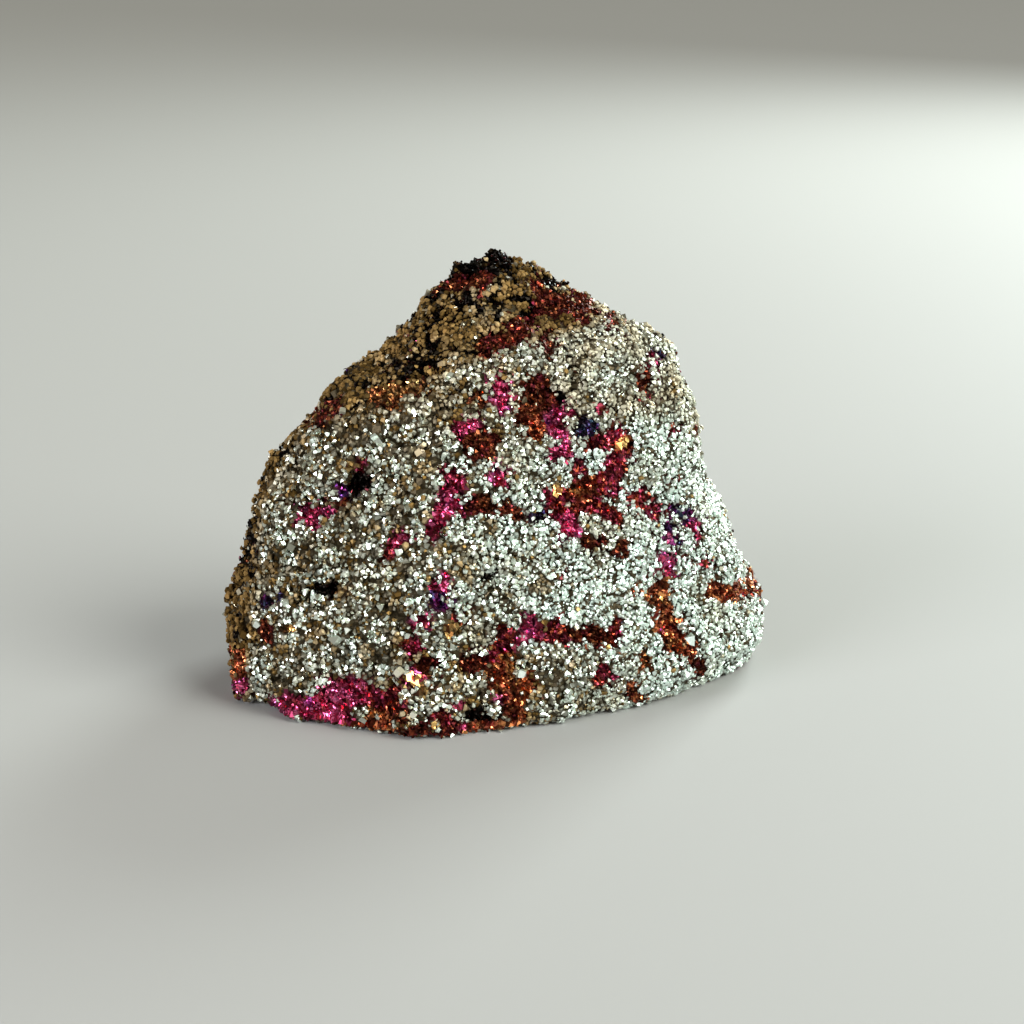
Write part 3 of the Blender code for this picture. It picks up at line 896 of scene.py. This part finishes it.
class ORE_OT_matrix(bpy.types.Operator):
    """Model the ore itself: the solid's shape shrunk to lie under the crystals, knobbly where they root, and crumpled
    into small bright facets where it shows"""

    bl_idname = "ore.matrix"
    bl_label = "Tarnished ore"

    def execute(self, context):
        settings = context.scene.ore
        piece = bpy.data.objects.new(MATRIX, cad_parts[NODE].data.copy())
        context.scene.collection.objects.link(piece)
        chosen(piece)
        bpy.ops.object.mode_set(mode="EDIT")
        bpy.ops.mesh.select_all(action="SELECT")
        bpy.ops.mesh.remove_doubles(threshold=2e-6)
        bpy.ops.object.mode_set(mode="OBJECT")
        even_out(piece, voxel=0.8, passes=4)
        whole, _ = vertex_places(piece.data)
        displace(piece, "inset", np.interp(whole[:, 2], PEAK, (1.0, 0.1)), -settings.inset)
        rest_on_table(piece.data, whole[:, 2])
        even_out(piece, voxel=0.55, passes=2)

        # the bare places get finer, uneven facets
        places, normals = face_places(piece.data)
        depth, _, _ = tarnish_at(places, normals)
        bpy.ops.object.mode_set(mode="EDIT")
        bpy.ops.mesh.select_mode(type="FACE")
        bpy.ops.mesh.select_all(action="DESELECT")
        bpy.ops.object.mode_set(mode="OBJECT")
        rim = (places[:, 2] < UNDERSIDE_TOP) & ~on_underside(places, normals)
        piece.data.polygons.foreach_set("select", (depth > -0.3) & ~rim)
        bpy.ops.object.mode_set(mode="EDIT")
        bpy.ops.mesh.subdivide(number_cuts=1)
        bpy.ops.mesh.quads_convert_to_tris(quad_method="FIXED_ALTERNATE")
        bpy.ops.transform.vertex_random(offset=settings.crumple, uniform=0.6, normal=0.4, seed=SEED)
        bpy.ops.object.mode_set(mode="OBJECT")

        # the knobs rise where crystals root, and the folds of the film in the bare places
        places, normals = vertex_places(piece.data)
        depth, _, _ = tarnish_at(places, normals)
        height, _, _ = knobs_at(places, settings.knob_size / MM)
        lobes, _, _ = knobs_at(places, LOBE * settings.knob_size / MM)
        height = (0.25 + 0.55 * height + 0.2 * lobes) * np.clip(1.0 + 2.0 * normals[:, 2], 0.0, 1.0)
        bare = np.clip(depth / 0.4 + 0.5, 0.0, 1.0)
        folds = 0.15 + 0.4 * (1.0 - 3.0 * np.abs(fold_at(places)))
        folds *= np.where(on_underside(places, normals), 0.5, 1.0)
        rise = np.clip(bare * np.maximum(folds, 0.0) + (1 - bare) * height, 0.0, 1.0)
        displace(piece, "knobs", rise, settings.knob_height)
        places, _ = vertex_places(piece.data)
        move_vertices(piece.data, over_the_floor(places, 0.0))

        places, normals = face_places(piece.data)
        depth, film, gleam = tarnish_at(places, normals)
        film, gleam = tarnish_shades(places, film, gleam, np.random.default_rng(SEED + 3))
        # painted shadow: the film is dimmer near the crust's edge, where the crust stands over it
        gleam = np.where(film > SOOT_AND_SHADE, gleam, gleam * np.clip(depth / 0.4, 0.2, 1.0))
        # it is covered where crystals crowd over it, and there takes the dark covered colour, which is partly painted
        # shade between them
        covered = np.clip(-0.2 - depth / 0.6, 0.0, 1.0)
        face_marks(piece.data, {"film": film, "gleam": gleam, "covered": covered})
        piece.data.shade_flat()
        box_map(piece.data)
        belongs(piece, tarnish_material(settings))
        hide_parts(NODE)
        return {"FINISHED"}


class ORE_OT_tarnished_flakes(bpy.types.Operator):
    """Model the broken flakes and grains that stand out of the bare places, and the tufts of golden plates"""

    bl_idname = "ore.tarnished_flakes"
    bl_label = "Tarnished flakes"

    def execute(self, context):
        settings = context.scene.ore
        rng = np.random.default_rng(SEED + 1)
        places, normals = matrix_samples(FLAKE_SAMPLES, rng)
        depth, film, gleam = tarnish_at(places, normals)
        bare = np.flatnonzero(depth > 0.0)
        bare = bare[well_spaced(places[bare], np.full(len(bare), settings.flake_gap / MM))]
        golden, golden_sizes = tufts_front(places, normals, GOLD_CRYSTALS)
        kept = np.concatenate([bare, golden])
        places, normals = places[kept], normals[kept]
        count = len(kept)
        is_gold = np.arange(count) >= len(bare)
        kinds = rng.choice(len(FLAKES), count, p=list(FLAKES.values()))
        kinds[is_gold] = len(FLAKES) + rng.choice(len(PLATES), len(golden))
        thin = kinds < THIN
        sizes = np.where(thin, 0.25 + 0.3 * rng.random(count), 0.36 + 0.24 * rng.random(count))
        sizes[is_gold] = golden_sizes * rng.uniform(0.7, 1.3, len(golden))

        film, gleam = tarnish_shades(places, film[kept], gleam[kept], rng)
        gleam = np.clip(gleam * (0.3 + 2.6 * rng.random(count) ** 2), 0.05, 1.0)
        film[is_gold] = rng.uniform(0.02, 0.2, len(golden))
        gleam[is_gold] = rng.uniform(0.6, 1.0, len(golden))

        noise.seed_set(SEED)  # without it noise_vector starts from the clock
        grain = np.array([noise.noise_vector(Vector(place) / 2.5) for place in places])
        turns = lying_turns(normals, 0.4, grain + rng.normal(size=places.shape) * 0.12, rng)
        # the golden plates are the ones that lie so as to catch the light
        glare = Vector(KEY_PLACE).normalized() - Vector(VIEW_AHEAD)
        shining = 0.5 * normals[is_gold] + np.array(glare.normalized())
        turns[is_gold] = lying_turns(shining, 0.2, grain[is_gold], rng)
        golden_rise = rng.uniform(0.2, 0.4, count)
        rise = np.where(thin, rng.uniform(0.05, 0.2, count), rng.uniform(-0.05, 0.1, count))
        rise = np.where(is_gold, golden_rise, rise)
        places = over_the_floor(places + normals * rise[:, None], sizes * 0.6)
        marks = {"film": film, "gleam": gleam}
        piece = crystal_mesh("tarnished_flakes", hulls((*FLAKES, *PLATES)), kinds, places, turns, sizes, marks)
        belongs(piece, bpy.data.materials["tarnished_chalcopyrite"])
        return {"FINISHED"}


class ORE_OT_pyrite_druse(bpy.types.Operator):
    """Model the druse: small pyrite crystals crowded over the matrix's knobs, and larger ones that stand out"""

    bl_idname = "ore.pyrite_druse"
    bl_label = "Pyrite druse"

    def execute(self, context):
        settings = context.scene.ore
        rng = np.random.default_rng(SEED + 2)
        crystals = grown_crystals(settings, rng)
        looks = druse_looks(crystals, rng)
        kinds, places, turns, sizes = druse_shapes(crystals, rng)
        forms = hulls(GRAINS + SMALL + STANDING)
        u, _ = seen_from_front(places)
        front = faces_front(places, crystals["normal"]) > 0
        under = on_underside(places, crystals["normal"])
        left, right = FRONT_PARTS
        parts = {
            "pyrite_druse_front_left": front & (u < left),
            "pyrite_druse_front_middle": front & (u >= left) & (u < right),
            "pyrite_druse_front_right": front & (u >= right),
            "pyrite_druse_back_left": ~front & ~under & (u < 0.0),
            "pyrite_druse_back_right": ~front & ~under & (u >= 0.0),
            "pyrite_druse_underside": ~front & under,
        }
        material = pyrite_material(settings)
        for name, mine in parts.items():
            marks = chosen_few(looks, mine)
            piece = crystal_mesh(name, forms, kinds[mine], places[mine], turns[mine], sizes[mine], marks)
            belongs(piece, material)
        return {"FINISHED"}


class ORE_OT_stage(bpy.types.Operator):
    """Set up the floor, the studio lamps and the camera"""

    bl_idname = "ore.stage"
    bl_label = "Stage"

    def execute(self, context):
        stage = context.scene.ore_stage
        deselect()
        bpy.ops.mesh.primitive_plane_add(size=6.0, location=(0, 0, 0))
        floor = context.object
        floor.name = "floor"
        material, tree = blank_material("matt_card")
        shader = add_node(
            tree,
            "ShaderNodeBsdfPrincipled",
            values={"Base Color": (*stage.floor, 1.0), "Roughness": 0.7},
        )
        add_node(tree, "ShaderNodeOutputMaterial", links={"Surface": shader.outputs["BSDF"]})
        floor.data.materials.append(material)

        bpy.ops.object.light_add(type="SUN", location=KEY_PLACE)
        key = context.object
        key.name = "key_light"
        key.data.energy, key.data.angle, key.data.color = stage.key_strength, stage.key_angle, rgb("#F8FFFB")
        key.rotation_euler = (-Vector(KEY_PLACE)).to_track_quat("-Z", "Y").to_euler()
        lamps = (
            ("window", stage.window_power, (1.05, -0.45, 0.55), 1.3, "#F4FFFA"),
            ("fill", stage.fill_power, (-0.5, -0.45, 0.25), 0.4, "#F2F6FF"),
            ("rim", stage.fill_power, (0.35, 0.5, 0.35), 0.3, "#EAF6F4"),
        )
        for name, power, place, size, code in lamps:
            bpy.ops.object.light_add(type="AREA", location=place)
            lamp = context.object
            lamp.name = name + "_lamp"
            lamp.data.energy, lamp.data.size, lamp.data.color = power, size, rgb(code)
            aim = Vector(CAMERA_TARGET * MM) - Vector(place)
            lamp.rotation_euler = aim.to_track_quat("-Z", "Y").to_euler()

        world = bpy.data.worlds.new("studio")
        world.use_nodes = True
        background = world.node_tree.nodes["Background"]
        background.inputs["Color"].default_value = (*stage.room, 1.0)
        background.inputs["Strength"].default_value = stage.room_strength
        context.scene.world = world

        eye = Vector((CAMERA_TARGET - VIEW_AHEAD * CAMERA_DISTANCE) * MM)
        bpy.ops.object.camera_add(location=eye)
        camera = context.object
        camera.rotation_euler = Vector(VIEW_AHEAD).to_track_quat("-Z", "Y").to_euler()
        camera.data.lens, camera.data.sensor_width = CAMERA_LENS, SENSOR
        camera.data.clip_start, camera.data.clip_end = 0.01, 10.0
        context.scene.camera = camera
        context.scene.view_settings.view_transform = "Standard"
        return {"FINISHED"}


class ORE_PT_panel(bpy.types.Panel):
    """Lists the lump's pieces and their settings"""

    bl_idname = "ORE_PT_panel"
    bl_label = "Peacock ore"
    bl_space_type = "VIEW_3D"
    bl_region_type = "UI"
    bl_category = "Ore"

    def draw(self, context):
        for settings in (context.scene.ore, context.scene.ore_stage):
            column = self.layout.column(align=True)
            for name in settings.__annotations__:
                column.prop(settings, name)
        for operator in OPERATORS:
            self.layout.operator(operator.bl_idname)


OPERATORS = (ORE_OT_matrix, ORE_OT_tarnished_flakes, ORE_OT_pyrite_druse, ORE_OT_stage)
CLASSES = (OreSettings, StageSettings, *OPERATORS, ORE_PT_panel)


def register():
    for cls in CLASSES:
        bpy.utils.register_class(cls)
    bpy.types.Scene.ore = PointerProperty(type=OreSettings)
    bpy.types.Scene.ore_stage = PointerProperty(type=StageSettings)


def unregister():
    del bpy.types.Scene.ore_stage
    del bpy.types.Scene.ore
    for cls in reversed(CLASSES):
        bpy.utils.unregister_class(cls)


def main():
    register()
    bpy.ops.ore.matrix()
    bpy.ops.ore.tarnished_flakes()
    bpy.ops.ore.pyrite_druse()
    bpy.ops.ore.stage()


if __name__ == "__main__":
    main()
